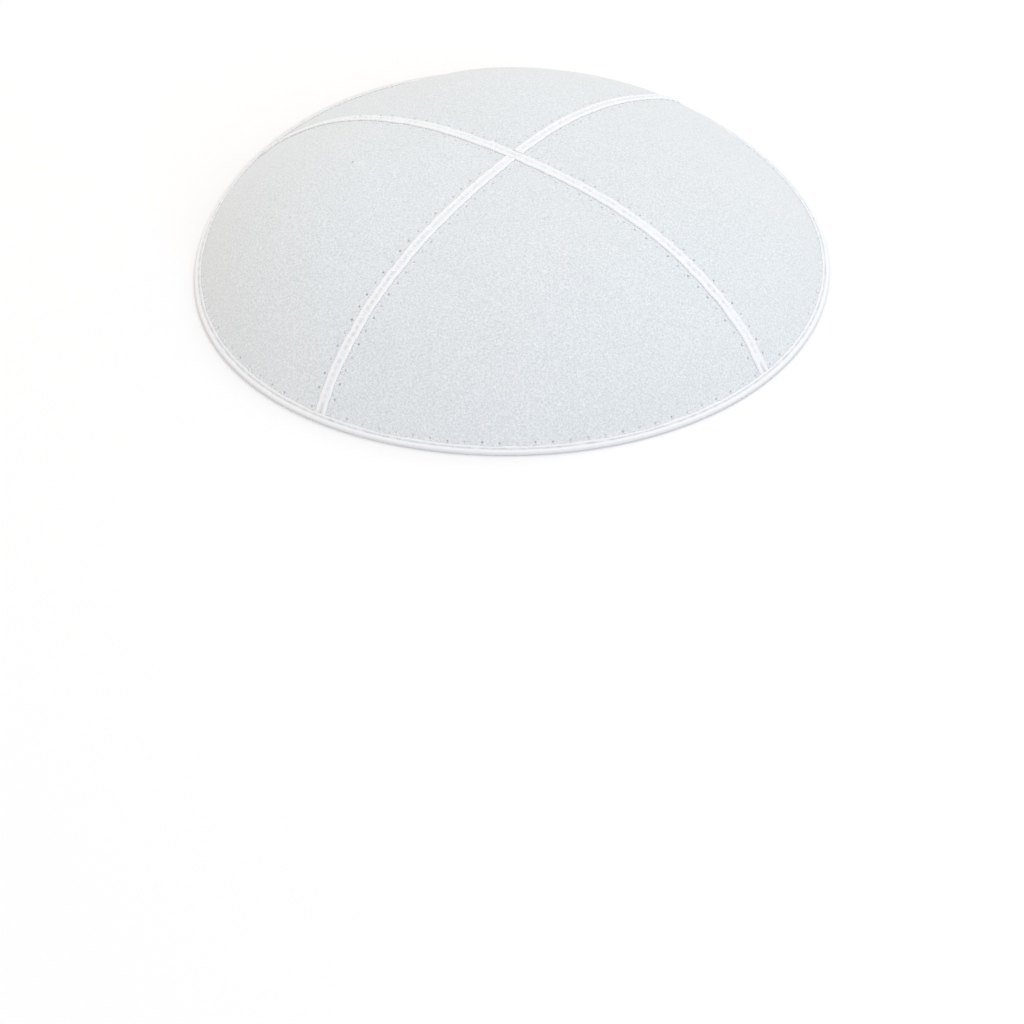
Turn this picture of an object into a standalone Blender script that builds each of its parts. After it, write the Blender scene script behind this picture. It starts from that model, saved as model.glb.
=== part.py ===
"""A four-panel suede skullcap: four panels, the tapes over their seams and a bound rim.

Metres, +Z up, the front of the cap towards -Y. The dome's axis is the Z axis, and the
cap rests on z = 0 on the folded edge of its binding.
"""
import math

import bmesh
import bpy
from mathutils import Vector

# Overall sizes
RIM_DIAMETER = 0.180         # across the outside of the binding
CAP_HEIGHT = 0.0376          # from the table to the top of the suede at the crown

# Meridian of the dome: a slice off the top of a squircle ball
DOME_FULLNESS = 0.849        # radius of the slice, as a share of the ball's radius
DOME_SQUARENESS = 2.485      # exponent of the ball's outline, 2 for a round ball

# Suede panels
SUEDE_THICKNESS = 0.0010
PANEL_CELLS = 14             # faces along each side of a panel

# Seams between the panels
SEAM_TURN = math.radians(7.9)             # of all four, from the cap's diagonals
CROWN_POINT = Vector((0.0012, -0.0009))   # where they cross, off the dome's axis

# Tapes over the seams
TAPE_WIDTH = 0.0033
TAPE_THICKNESS = 0.0005
TAPE_GROOVE = 0.0002         # depth of the hollow between the tape's two lips
TAPE_CELLS = 32              # faces along a seam, from the crown to the rim

# A tape across its width: share of the half width, share of the groove's depth
TAPE_SECTION = ((-1.0, 0.8), (-0.6, 0.0), (0.0, 1.0), (0.6, 0.0), (1.0, 0.8))

# Rim binding, folded round the lower edge of the suede
BINDING_WIDTH = 0.0027       # from the upper edge of its outer leg to the fold
BINDING_INNER_WIDTH = 0.0023
BINDING_THICKNESS = 0.0005
BINDING_FLAT = 0.0012        # width of the flat on which the fold rests
BINDING_CELLS = 96           # faces round the rim
FOLD_CELLS = 6               # faces round the inside and the outside of the fold

# Clearance between pieces that touch on the real cap
PIECE_GAP = 0.0003

# Merge distance for the turned binding's first and last sections
MERGE_DISTANCE = 0.00001

# Sizes that follow from these
HALF_SUEDE = SUEDE_THICKNESS / 2
CHANNEL_RADIUS = HALF_SUEDE + PIECE_GAP
FOLD_RADIUS = CHANNEL_RADIUS + BINDING_THICKNESS
EDGE_RADIUS = RIM_DIAMETER / 2 - FOLD_RADIUS
EDGE_HEIGHT = math.sqrt(FOLD_RADIUS ** 2 - (BINDING_FLAT / 2) ** 2)
DOME_RISE = CAP_HEIGHT - HALF_SUEDE - EDGE_HEIGHT

# Finishes: colour, roughness
SUEDE = ((0.76, 0.80, 0.82, 1.0), 0.95)
TAPE = ((0.88, 0.90, 0.92, 1.0), 0.75)
BINDING = ((0.90, 0.91, 0.92, 1.0), 0.70)


def make_material(name, finish):
    """A Principled material of one colour."""
    colour, roughness = finish
    material = bpy.data.materials.new(name)
    material.use_nodes = True
    shader = material.node_tree.nodes["Principled BSDF"]
    shader.inputs["Base Color"].default_value = colour
    shader.inputs["Roughness"].default_value = roughness
    shader.inputs["Metallic"].default_value = 0.0
    material.diffuse_color = colour
    return material


def add_object(name, mesh, finish, collection):
    """Puts a mesh in the collection as a smooth-shaded object with its own material."""
    mesh.materials.append(make_material(name, finish))
    mesh.shade_smooth()
    thing = bpy.data.objects.new(name, mesh)
    collection.objects.link(thing)
    return thing


def ball_height(share):
    """Height of a squircle ball of radius 1, at a share of its radius off its axis."""
    return (1 - share ** DOME_SQUARENESS) ** (1 / DOME_SQUARENESS)


def dome_height(radius):
    """Height of the middle of the suede, at a distance off the dome's axis."""
    share = DOME_FULLNESS * radius / EDGE_RADIUS
    rim = ball_height(DOME_FULLNESS)
    return EDGE_HEIGHT + DOME_RISE * (ball_height(share) - rim) / (1 - rim)


def dome_slope(radius):
    """Angle at which the dome falls away, at a distance off its axis."""
    share = DOME_FULLNESS * radius / EDGE_RADIUS
    ball_fall = (share / ball_height(share)) ** (DOME_SQUARENESS - 1)
    stretch = DOME_RISE / (1 - ball_height(DOME_FULLNESS)) * DOME_FULLNESS / EDGE_RADIUS
    return math.atan(ball_fall * stretch)


def dome_point(plan, lift=0.0):
    """Point over a place in plan, lifted square off the middle of the suede."""
    slope = dome_slope(plan.length)
    outwards = plan.normalized() * math.sin(slope)
    foot = Vector((plan.x, plan.y, dome_height(plan.length)))
    return foot + lift * Vector((outwards.x, outwards.y, math.cos(slope)))


def direction(angle):
    """Unit vector in plan."""
    return Vector((math.cos(angle), math.sin(angle)))


def seam_azimuth(seam):
    """Azimuth of a seam: 0 is the front right one, and they run anticlockwise."""
    return SEAM_TURN + math.radians(90 * seam - 45)


def off_centre(plan):
    """A place in plan, moved with the crown point, less and less towards the rim."""
    share = plan.length / EDGE_RADIUS
    return plan + CROWN_POINT * (1 - share ** 2)


def panel_plan(across, along, seam):
    """Place in plan of a point on the square grid of the panel that follows a seam.

    Both shares run from 0 to 1, and the grid's corner (0, 0) is the crown.
    """
    outermost = max(across, along)
    if outermost == 0:
        turn = 0.5
    elif across >= along:
        turn = 0.5 * along / across
    else:
        turn = 1 - 0.5 * across / along
    half_gap = PIECE_GAP / 2
    margin = math.asin(half_gap / EDGE_RADIUS)
    rim = EDGE_RADIUS * direction(margin + turn * (math.pi / 2 - 2 * margin))
    place = Vector((half_gap, half_gap)).lerp(rim, outermost)
    along_seam = direction(seam_azimuth(seam))
    return off_centre(place.x * along_seam + place.y * along_seam.orthogonal())


def make_wall(name, cells, place, thickness, finish, collection):
    """A wall on both sides of a sheet, whose grid a function places by shares from 0 to 1."""
    sheet = bmesh.new()
    bmesh.ops.create_grid(sheet, x_segments=cells[0], y_segments=cells[1], size=0.5)
    for vertex in sheet.verts:
        vertex.co = place(vertex.co.x + 0.5, vertex.co.y + 0.5)
    mesh = bpy.data.meshes.new(name)
    sheet.to_mesh(mesh)
    sheet.free()
    wall = add_object(name, mesh, finish, collection)
    solidify = wall.modifiers.new("wall", "SOLIDIFY")
    solidify.thickness = thickness
    solidify.offset = 0.0
    return wall


def make_panel(name, seam, collection):
    """The quarter of the dome that follows a seam anticlockwise."""
    def place(across, along):
        return dome_point(panel_plan(across, along, seam))

    return make_wall(name, (PANEL_CELLS, PANEL_CELLS), place, SUEDE_THICKNESS, SUEDE, collection)


def tape_reach():
    """Distance in plan from the crown point at which a tape stops short of the binding."""
    leg = BINDING_WIDTH - FOLD_RADIUS + PIECE_GAP
    return EDGE_RADIUS - leg * math.cos(dome_slope(EDGE_RADIUS))


def make_tape(name, start, end, seam, cells, collection):
    """A tape along a seam, between two distances in plan off the crown point."""
    along_seam = direction(seam_azimuth(seam))
    across_seam = along_seam.orthogonal()
    foot = HALF_SUEDE + PIECE_GAP + TAPE_THICKNESS / 2

    def place(along, across):
        side, groove = TAPE_SECTION[round(across * (len(TAPE_SECTION) - 1))]
        plan = off_centre(along_seam * (start + along * (end - start)))
        plan += across_seam * side * TAPE_WIDTH / 2
        return dome_point(plan, foot + (1 - groove) * TAPE_GROOVE)

    grid = (cells, len(TAPE_SECTION) - 1)
    return make_wall(name, grid, place, TAPE_THICKNESS, TAPE, collection)


def fold_arc(radius, start, end, cells):
    """Points (x, z) of an arc about the fold's centre, between two angles from +X."""
    angles = [start + (end - start) * step / cells for step in range(cells + 1)]
    return [(EDGE_RADIUS + radius * math.cos(a), EDGE_HEIGHT + radius * math.sin(a)) for a in angles]


def leg_end(off_suede, height):
    """Point (x, z) at the end of a leg of the binding, off the middle of the suede's edge."""
    slope = dome_slope(EDGE_RADIUS)
    x = EDGE_RADIUS + off_suede * math.sin(slope) - height * math.cos(slope)
    z = EDGE_HEIGHT + off_suede * math.cos(slope) + height * math.sin(slope)
    return (x, z)


def binding_section():
    """The binding's closed section, down its outer side first."""
    outer_leg = BINDING_WIDTH - FOLD_RADIUS
    inner_leg = BINDING_INNER_WIDTH - FOLD_RADIUS
    outside = math.pi / 2 - dome_slope(EDGE_RADIUS)
    inside = outside - math.pi
    half_flat = math.asin(BINDING_FLAT / 2 / FOLD_RADIUS)
    flat_start = half_flat - math.pi / 2
    flat_end = -half_flat - math.pi / 2
    section = [leg_end(FOLD_RADIUS, outer_leg)]
    section += fold_arc(FOLD_RADIUS, outside, flat_start, FOLD_CELLS)
    section += fold_arc(FOLD_RADIUS, flat_end, inside, FOLD_CELLS // 3)
    section += [leg_end(-FOLD_RADIUS, inner_leg), leg_end(-CHANNEL_RADIUS, inner_leg)]
    section += fold_arc(CHANNEL_RADIUS, inside, outside, FOLD_CELLS)
    section += [leg_end(CHANNEL_RADIUS, outer_leg)]
    return section


def make_binding(name, collection):
    """The binding, turned about the dome's axis."""
    outline = bmesh.new()
    corners = [outline.verts.new((x, 0, z)) for x, z in binding_section()]
    for corner, following in zip(corners, corners[1:] + corners[:1]):
        outline.edges.new((corner, following))
    mesh = bpy.data.meshes.new(name)
    outline.to_mesh(mesh)
    outline.free()
    binding = add_object(name, mesh, BINDING, collection)
    turned = binding.modifiers.new("turned", "SCREW")
    turned.steps = BINDING_CELLS
    turned.render_steps = BINDING_CELLS
    turned.use_merge_vertices = True
    turned.merge_threshold = MERGE_DISTANCE
    return binding


def main():
    """Builds the whole cap."""
    for thing in list(bpy.data.objects):
        bpy.data.objects.remove(thing, do_unlink=True)
    collection = bpy.data.collections.new("kippah_skullcap")
    bpy.context.scene.collection.children.link(collection)

    for seam, side in enumerate(("right", "back", "left", "front")):
        make_panel("panel_" + side, seam, collection)

    reach = tape_reach()
    butt = TAPE_WIDTH / 2 + PIECE_GAP
    make_tape("seam_strip_long", -reach, reach, 0, 2 * TAPE_CELLS, collection)
    make_tape("seam_strip_back_right", butt, reach, 1, TAPE_CELLS, collection)
    make_tape("seam_strip_front_left", butt, reach, 3, TAPE_CELLS, collection)

    make_binding("rim_binding", collection)


main()
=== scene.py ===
"""The looks of a four-panel white suede skullcap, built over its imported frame.

Four suede panels with needle holes, three tapes over the seams, a folded rim binding and
the white thread that holds them, on a pale floor in soft light. Metres, +Z up, and the
front of the cap towards -Y.
"""

import logging
import math
from collections.abc import Iterable
from dataclasses import dataclass, field
from enum import Enum

import bpy
import numpy as np
from mathutils import Matrix, Vector
from mathutils.geometry import delaunay_2d_cdt


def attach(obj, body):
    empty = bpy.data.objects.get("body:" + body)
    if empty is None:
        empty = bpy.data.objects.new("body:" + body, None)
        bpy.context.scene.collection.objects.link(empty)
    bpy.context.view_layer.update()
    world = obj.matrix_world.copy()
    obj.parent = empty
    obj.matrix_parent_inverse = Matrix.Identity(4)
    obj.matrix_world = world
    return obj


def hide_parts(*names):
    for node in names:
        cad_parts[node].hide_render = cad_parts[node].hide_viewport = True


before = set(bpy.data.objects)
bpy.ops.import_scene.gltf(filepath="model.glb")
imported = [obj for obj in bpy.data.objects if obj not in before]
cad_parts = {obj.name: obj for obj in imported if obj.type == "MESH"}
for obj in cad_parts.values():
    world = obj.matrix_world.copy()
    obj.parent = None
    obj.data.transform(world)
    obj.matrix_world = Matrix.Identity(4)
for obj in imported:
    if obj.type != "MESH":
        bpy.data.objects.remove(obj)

LOG = logging.getLogger("skullcap")
BODY = "root"
MM = 0.001
FULL_TURN = 2 * math.pi

# A sum of random waves: mean square of one wave, and the sum's usual peak
WAVE_SQUARE = 0.3
WAVE_PEAK = 1.6

# Largest value of share ** 8 * (1 - share), from 0 to 1
SHOULDER_PEAK = 0.0433

# Socket types of node groups
FLOAT = "NodeSocketFloat"
INT = "NodeSocketInt"
VECTOR = "NodeSocketVector"
OBJECT = "NodeSocketObject"
MATERIAL = "NodeSocketMaterial"
GEOMETRY = "NodeSocketGeometry"

Array = np.ndarray
Node = bpy.types.Node
NodeTree = bpy.types.NodeTree
Socket = bpy.types.NodeSocket
Material = bpy.types.Material
Thing = bpy.types.Object


class Slot(Enum):
    """The record's material slots."""

    SUEDE = "suede"
    SEAM_TAPE = "seam_tape"
    BINDING = "binding"


class Side(Enum):
    """A side of a seam, seen from the crown: left is the anticlockwise side."""

    LEFT = 1
    RIGHT = -1


def unit(vectors: Array) -> Array:
    """Scales vectors, one a row, to length 1."""
    return vectors / np.linalg.norm(vectors, axis=-1, keepdims=True)


def turned(plan: Array, angle: float) -> Array:
    """Turns places in plan anticlockwise about the origin.

    Args:
        plan: Places in plan, one a row.
        angle: Angle in radians.

    Returns:
        The turned places.
    """
    cosine, sine = math.cos(angle), math.sin(angle)
    x, y = plan[..., 0], plan[..., 1]
    return np.stack((cosine * x - sine * y, sine * x + cosine * y), axis=-1)


def random_waves(shares: Array, counts: range, seed: int) -> Array:
    """A smooth random wave round a closed line.

    Args:
        shares: Places on the line, from 0 to 1.
        counts: Numbers of waves on the line that are summed.
        seed: Seed of their sizes and shifts.

    Returns:
        The wave at each place, mostly between -1 and 1.
    """
    rng = np.random.default_rng(seed)
    total = np.zeros_like(shares)
    for count in counts:
        size = rng.uniform(0.5, 1.0)
        shift = rng.uniform(0, FULL_TURN)
        total += size * np.sin(FULL_TURN * count * shares + shift)
    return total / math.sqrt(WAVE_SQUARE * len(counts)) / WAVE_PEAK


class Graph:
    """Adds nodes to a node tree and joins them."""

    def __init__(self, tree: NodeTree) -> None:
        """Works on a tree."""
        self.tree = tree

    def link(self, source: Socket, target: Socket) -> None:
        """Joins an output to an input."""
        self.tree.links.new(source, target)

    def add(self, kind: str, inputs: dict | None = None, **settings: object) -> Node:
        """Adds one node.

        Args:
            kind: Type name of the node.
            inputs: Sockets or plain values, by the input's name or number.
            settings: Properties of the node itself.

        Returns:
            The new node.
        """
        node = self.tree.nodes.new(kind)
        for name, value in settings.items():
            setattr(node, name, value)
        for key, value in (inputs or {}).items():
            if isinstance(value, Socket):
                self.link(value, node.inputs[key])
            else:
                node.inputs[key].default_value = value
        return node

    def first(self, kind: str, inputs: dict | None = None, **settings: object) -> Socket:
        """Adds one node, and gives its first output."""
        return self.add(kind, inputs, **settings).outputs[0]

    @staticmethod
    def live(sockets: Iterable[Socket], name: str = "") -> Socket:
        """The first socket that is in use, of that name where one is given."""
        return next(s for s in sockets if s.enabled and name in ("", s.name))

    def math(self, operation: str, *values: Socket | float, clamp: bool = False) -> Socket:
        """Adds a math node, whose result may be kept between 0 and 1."""
        inputs = dict(enumerate(values))
        return self.first("ShaderNodeMath", inputs, operation=operation, use_clamp=clamp)

    def product(self, first: Socket | float, second: Socket | float) -> Socket:
        """Multiplies two values."""
        return self.math("MULTIPLY", first, second)

    def blended(self, first: Socket, share: Socket | float, second: Socket,
                other_share: Socket | float) -> Socket:
        """Adds up two values, each times its share."""
        return self.math("ADD", self.product(first, share), self.product(second, other_share))

    def vector(self, operation: str, *values: Socket | tuple) -> Socket:
        """Adds a vector math node, and gives its number where the operation has one."""
        node = self.add("ShaderNodeVectorMath", dict(enumerate(values)), operation=operation)
        return node.outputs["Value" if operation in ("LENGTH", "DOT_PRODUCT") else "Vector"]

    def scaled(self, vector: Socket, factor: Socket | float) -> Socket:
        """Scales a vector."""
        inputs = {0: vector, "Scale": factor}
        return self.add("ShaderNodeVectorMath", inputs, operation="SCALE").outputs["Vector"]

    def ramp(self, value: Socket, start: Socket | float, end: Socket | float,
             first: Socket | float = 0.0, last: Socket | float = 1.0,
             smooth: bool = False) -> Socket:
        """Adds a map range node, which holds its ends.

        Args:
            value: The value to map.
            start: Value that gives the first result.
            end: Value that gives the last result.
            first: Result at the start.
            last: Result at the end.
            smooth: Eases in and out.

        Returns:
            The result's socket.
        """
        inputs = {"Value": value, "From Min": start, "From Max": end}
        inputs |= {"To Min": first, "To Max": last}
        kind = "SMOOTHSTEP" if smooth else "LINEAR"
        return self.add("ShaderNodeMapRange", inputs, interpolation_type=kind).outputs["Result"]

    def noise(self, place: Socket, scale: Socket | float, detail: float,
              roughness: float) -> Socket:
        """Adds a noise texture, at a scale of so many cells a metre."""
        inputs = {"Vector": place, "Scale": scale, "Detail": detail, "Roughness": roughness}
        return self.first("ShaderNodeTexNoise", inputs)

    def mix(self, share: Socket | float, first: Socket | tuple, second: Socket | tuple) -> Socket:
        """Mixes two colours, by the share of the second."""
        inputs = {0: share, 6: first, 7: second}
        return self.add("ShaderNodeMix", inputs, data_type="RGBA").outputs[2]

    def attribute(self, name: str) -> Socket:
        """Reads a number that is stored on the mesh, in a material."""
        return self.add("ShaderNodeAttribute", attribute_name=name).outputs["Fac"]

    def random(self, inputs: dict, kind: str = "FLOAT") -> Socket:
        """Adds a node of random numbers or vectors."""
        return self.live(self.add("FunctionNodeRandomValue", inputs, data_type=kind).outputs)

    def stored_up(self) -> Socket:
        """Reads the direction off the surface that a guide stores."""
        inputs = {"Name": "up"}
        kind = "GeometryNodeInputNamedAttribute"
        return self.add(kind, inputs, data_type="FLOAT_VECTOR").outputs["Attribute"]

    def geometry_of(self, thing: Socket) -> Socket:
        """Reads the geometry of an object."""
        return self.add("GeometryNodeObjectInfo", {"Object": thing}).outputs["Geometry"]

    def sampled(self, geometry: Socket, value: Socket, index: Socket) -> Socket:
        """Reads a vector from one point of a geometry.

        Args:
            geometry: The geometry.
            value: The vector, as a field on it.
            index: Number of the point.

        Returns:
            The vector's socket.
        """
        node = self.add("GeometryNodeSampleIndex", {"Geometry": geometry, "Index": index},
                        data_type="FLOAT_VECTOR", domain="POINT")
        self.link(value, self.live(node.inputs, "Value"))
        return self.live(node.outputs)

    def group_ends(self, inputs: dict[str, tuple], outputs: dict[str, str]) -> tuple:
        """Makes the sockets of a node group.

        Args:
            inputs: Socket type and default value by name; the default may be None.
            outputs: Socket type by name.

        Returns:
            The sockets that give the group's inputs, and those that take its outputs.
        """
        for name, (kind, value) in inputs.items():
            made = self.tree.interface.new_socket(name, in_out="INPUT", socket_type=kind)
            if value is not None:
                made.default_value = value
        for name, kind in outputs.items():
            self.tree.interface.new_socket(name, in_out="OUTPUT", socket_type=kind)
        return self.add("NodeGroupInput").outputs, self.add("NodeGroupOutput").inputs

    def end_geometry(self, geometry: Socket, material: Socket, end: Socket) -> None:
        """Makes instances real and sets the material, at the end of a tree.

        Args:
            geometry: The tree's geometry.
            material: Its material.
            end: The tree's output.
        """
        real = self.first("GeometryNodeRealizeInstances", {"Geometry": geometry})
        inputs = {"Geometry": real, "Material": material}
        self.link(self.first("GeometryNodeSetMaterial", inputs), end)


# The form that all the pieces follow

@dataclass(frozen=True)
class CapForm:
    """The dome of the cap as it lies: its meridian, seams, rim and soft unevenness.

    The sizes from rim_diameter to suede_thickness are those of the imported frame. A wave is
    the size of its cosine and of its sine, and the first of a row goes once round the cap.
    """

    rim_diameter: float = 180.0 * MM
    cap_height: float = 37.6 * MM
    fullness: float = 0.849
    squareness: float = 2.485
    suede_thickness: float = 1.0 * MM
    fold_radius: float = 0.78 * MM
    fold_flat: float = 0.6 * MM
    flare: float = math.radians(20)
    flare_run: float = 2.4 * MM
    flare_fade: float = 3.5 * MM
    seam_turn: float = math.radians(8.36)
    crown_point: tuple[float, float] = (2.6 * MM, 0.93 * MM)
    shoulder_waves: tuple[tuple[float, float], ...] = (
        (-1.2 * MM, -2.6 * MM), (0.92 * MM, -0.31 * MM),
        (-0.71 * MM, -0.4 * MM), (1.0 * MM, 0.18 * MM),
    )
    rim_waves: tuple[tuple[float, float], ...] = (
        (0.82 * MM, 2.15 * MM), (0.14 * MM, -0.63 * MM),
        (0.94 * MM, -1.45 * MM), (0.02 * MM, 0.45 * MM),
    )
    rim_bulge: tuple[float, float, float] = (math.radians(55), math.radians(20), 2.03 * MM)
    flat_shoulders: tuple[tuple[float, float, float], ...] = (
        (math.radians(53), math.radians(26), -0.59 * MM),
        (math.radians(118), math.radians(34), 2.62 * MM),
    )
    calm_zone: float = 3.5 * MM
    seam_valley: float = 0.12 * MM
    valley_width: float = 5.0 * MM
    unevenness: float = 0.05 * MM
    swells: int = 14
    swell_lengths: tuple[float, float] = (12 * MM, 40 * MM)
    seed: int = 11

    @property
    def edge_radius(self) -> float:
        """Radius of the middle of the suede's lower edge."""
        return self.rim_diameter / 2 - self.fold_radius

    @property
    def edge_height(self) -> float:
        """Height of the middle of the suede's lower edge."""
        return math.sqrt(self.fold_radius ** 2 - (self.fold_flat / 2) ** 2)

    @property
    def half_suede(self) -> float:
        """Half the suede's thickness."""
        return self.suede_thickness / 2

    def ball(self, share: Array | float) -> Array | float:
        """Height of a squircle ball of radius 1, at a share of its radius off its axis."""
        return (1 - share ** self.squareness) ** (1 / self.squareness)

    def plain_meridian(self, radius: Array | float) -> Array | float:
        """Height of the dome's middle surface as it would be without the flare."""
        rise = self.cap_height - self.half_suede - self.edge_height
        rim = self.ball(self.fullness)
        curve = self.ball(self.fullness * radius / self.edge_radius)
        return self.edge_height + rise * (curve - rim) / (1 - rim)

    def meridian(self, radius: Array) -> Array:
        """Height of the even dome's middle surface, which flares out along its edge.

        Args:
            radius: Distances off the dome's axis.

        Returns:
            The heights.
        """
        step = 0.01 * MM
        steep = self.plain_meridian(self.edge_radius - step) - self.plain_meridian(self.edge_radius)
        deep = (steep / step - math.tan(self.flare)) * 2 * self.flare_run / math.pi
        inside = self.edge_radius - radius
        turn = np.sin(math.pi / 2 * np.clip(inside / self.flare_run, -0.5, 1))
        fade = np.exp(-(np.maximum(inside - self.flare_run, 0) / self.flare_fade) ** 2)
        return self.plain_meridian(radius) - deep * turn * fade

    def reach_at(self, arc: Array) -> Array:
        """Distance in plan off the crown, by the distance along the dome.

        Args:
            arc: Distances along a meridian from the crown.

        Returns:
            The distances in plan.
        """
        radii = np.linspace(0, self.edge_radius, 2000)
        steps = np.hypot(np.diff(radii), np.diff(self.meridian(radii)))
        return np.interp(arc, np.concatenate(((0.0,), np.cumsum(steps))), radii)

    @property
    def meridian_length(self) -> float:
        """Distance along the dome from the crown to the suede's edge."""
        radii = np.linspace(0, self.edge_radius, 2000)
        return float(np.hypot(np.diff(radii), np.diff(self.meridian(radii))).sum())

    def seam_azimuth(self, seam: int) -> float:
        """Azimuth of a seam: 0 is the front right one, and they run anticlockwise."""
        return self.seam_turn + math.radians(90 * seam - 45)

    @staticmethod
    def round_waves(waves: tuple[tuple[float, float], ...], azimuth: Array) -> Array:
        """Sums waves that go once, twice and more times round the cap.

        Args:
            waves: Size of the cosine and of the sine of each.
            azimuth: Where to read them.

        Returns:
            The sum.
        """
        total = np.zeros_like(azimuth)
        for count, (cosine, sine) in enumerate(waves, 1):
            total = total + cosine * np.cos(count * azimuth) + sine * np.sin(count * azimuth)
        return total

    def rim_swell(self, azimuth: Array) -> Array:
        """How far the uneven rim stands outside an even circle."""
        bulge = self.rim_bulge[2] * self.spread(azimuth, *self.rim_bulge[:2])
        return self.round_waves(self.rim_waves, azimuth) + bulge

    @staticmethod
    def spread(azimuth: Array, middle: float, width: float) -> Array:
        """A bump round the cap: 1 at its middle, and about a third at its width off it."""
        off = (azimuth - middle + math.pi) % FULL_TURN - math.pi
        return np.exp(-(off / width) ** 2)

    def uneven(self, plan: Array) -> Array:
        """Moves places in plan out and in with the uneven rim.

        Args:
            plan: Places on the plan that the height is read at.

        Returns:
            The moved places.
        """
        azimuth = np.arctan2(plan[..., 1], plan[..., 0])
        share = np.linalg.norm(plan, axis=-1) / self.edge_radius
        return plan * (1 + self.rim_swell(azimuth) * share ** 2 / self.edge_radius)[..., None]

    def crown_shift(self, plan: Array) -> Array:
        """How far places in plan follow the crown point, less and less towards the rim."""
        share = np.linalg.norm(plan, axis=-1, keepdims=True) / self.edge_radius
        return np.array(self.crown_point) * (1 - share ** 2)

    def off_centre(self, even: Array) -> Array:
        """Moves places on the even plan, where the seams are straight, with the crown point."""
        return even + self.crown_shift(even)

    def seam_distance(self, plan: Array) -> Array:
        """Distance of places in plan from the nearest seam."""
        even = plan - self.crown_shift(plan)
        return np.abs(turned(even, -self.seam_azimuth(0))).min(axis=-1)

    def height(self, plan: Array) -> Array:
        """Height of the suede's middle surface, with all its soft unevenness.

        Args:
            plan: Places on the real plan.

        Returns:
            The heights.
        """
        radius = np.linalg.norm(plan, axis=-1)
        azimuth = np.arctan2(plan[..., 1], plan[..., 0])
        share = radius / self.edge_radius
        shoulder = 4 * share ** 2 * (1 - share ** 2)
        soft = shoulder * self.round_waves(self.shoulder_waves, azimuth) + self.swell(plan)
        for middle, width, depth in self.flat_shoulders:
            spread = self.spread(azimuth, middle, width)
            soft = soft - depth * spread * share ** 8 * (1 - share) / SHOULDER_PEAK
        valley = np.exp(-(self.seam_distance(plan) / self.valley_width) ** 2)
        calm = 1 - np.exp(-((self.edge_radius - radius) / self.calm_zone) ** 2)
        return self.meridian(radius) + calm * (soft - self.seam_valley * valley)

    def swell(self, plan: Array) -> Array:
        """The slight random swells of soft leather.

        Args:
            plan: Places on the real plan.

        Returns:
            Their heights.
        """
        rng = np.random.default_rng(self.seed)
        total = np.zeros(plan.shape[:-1])
        for _ in range(self.swells):
            heading = rng.uniform(0, FULL_TURN)
            turns = FULL_TURN / rng.uniform(*self.swell_lengths)
            along = plan[..., 0] * math.cos(heading) + plan[..., 1] * math.sin(heading)
            total += np.sin(turns * along + rng.uniform(0, FULL_TURN))
        return self.unevenness * total / math.sqrt(self.swells / 2)

    def up(self, plan: Array) -> Array:
        """Unit vectors square off the suede, outwards.

        Args:
            plan: Places on the real plan.

        Returns:
            The vectors.
        """
        step = 0.1 * MM
        east, north = np.array((step, 0.0)), np.array((0.0, step))
        fall_x = (self.height(plan - east) - self.height(plan + east)) / (2 * step)
        fall_y = (self.height(plan - north) - self.height(plan + north)) / (2 * step)
        return unit(np.stack((fall_x, fall_y, np.ones_like(fall_x)), axis=-1))

    def place(self, even: Array, lift: Array | float = 0.0) -> Array:
        """Points over places on the even plan.

        Args:
            even: Places on the even plan.
            lift: Distance square off the middle of the suede.

        Returns:
            The points.
        """
        plan = self.off_centre(even)
        foot = np.concatenate((self.uneven(plan), self.height(plan)[..., None]), axis=-1)
        return foot + np.broadcast_to(lift, plan.shape[:-1])[..., None] * self.up(plan)


# Stitching

@dataclass(frozen=True)
class NeedleRow:
    """One row of needle holes, on the even plan.

    Attributes:
        even: The holes' places on the even plan.
    """

    even: Array

    def points(self, form: CapForm) -> Array:
        """Places of the holes on the suede's outer face."""
        return form.place(self.even, form.half_suede)

    def up(self, form: CapForm) -> Array:
        """Directions out of the holes."""
        return form.up(form.off_centre(self.even))


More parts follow.
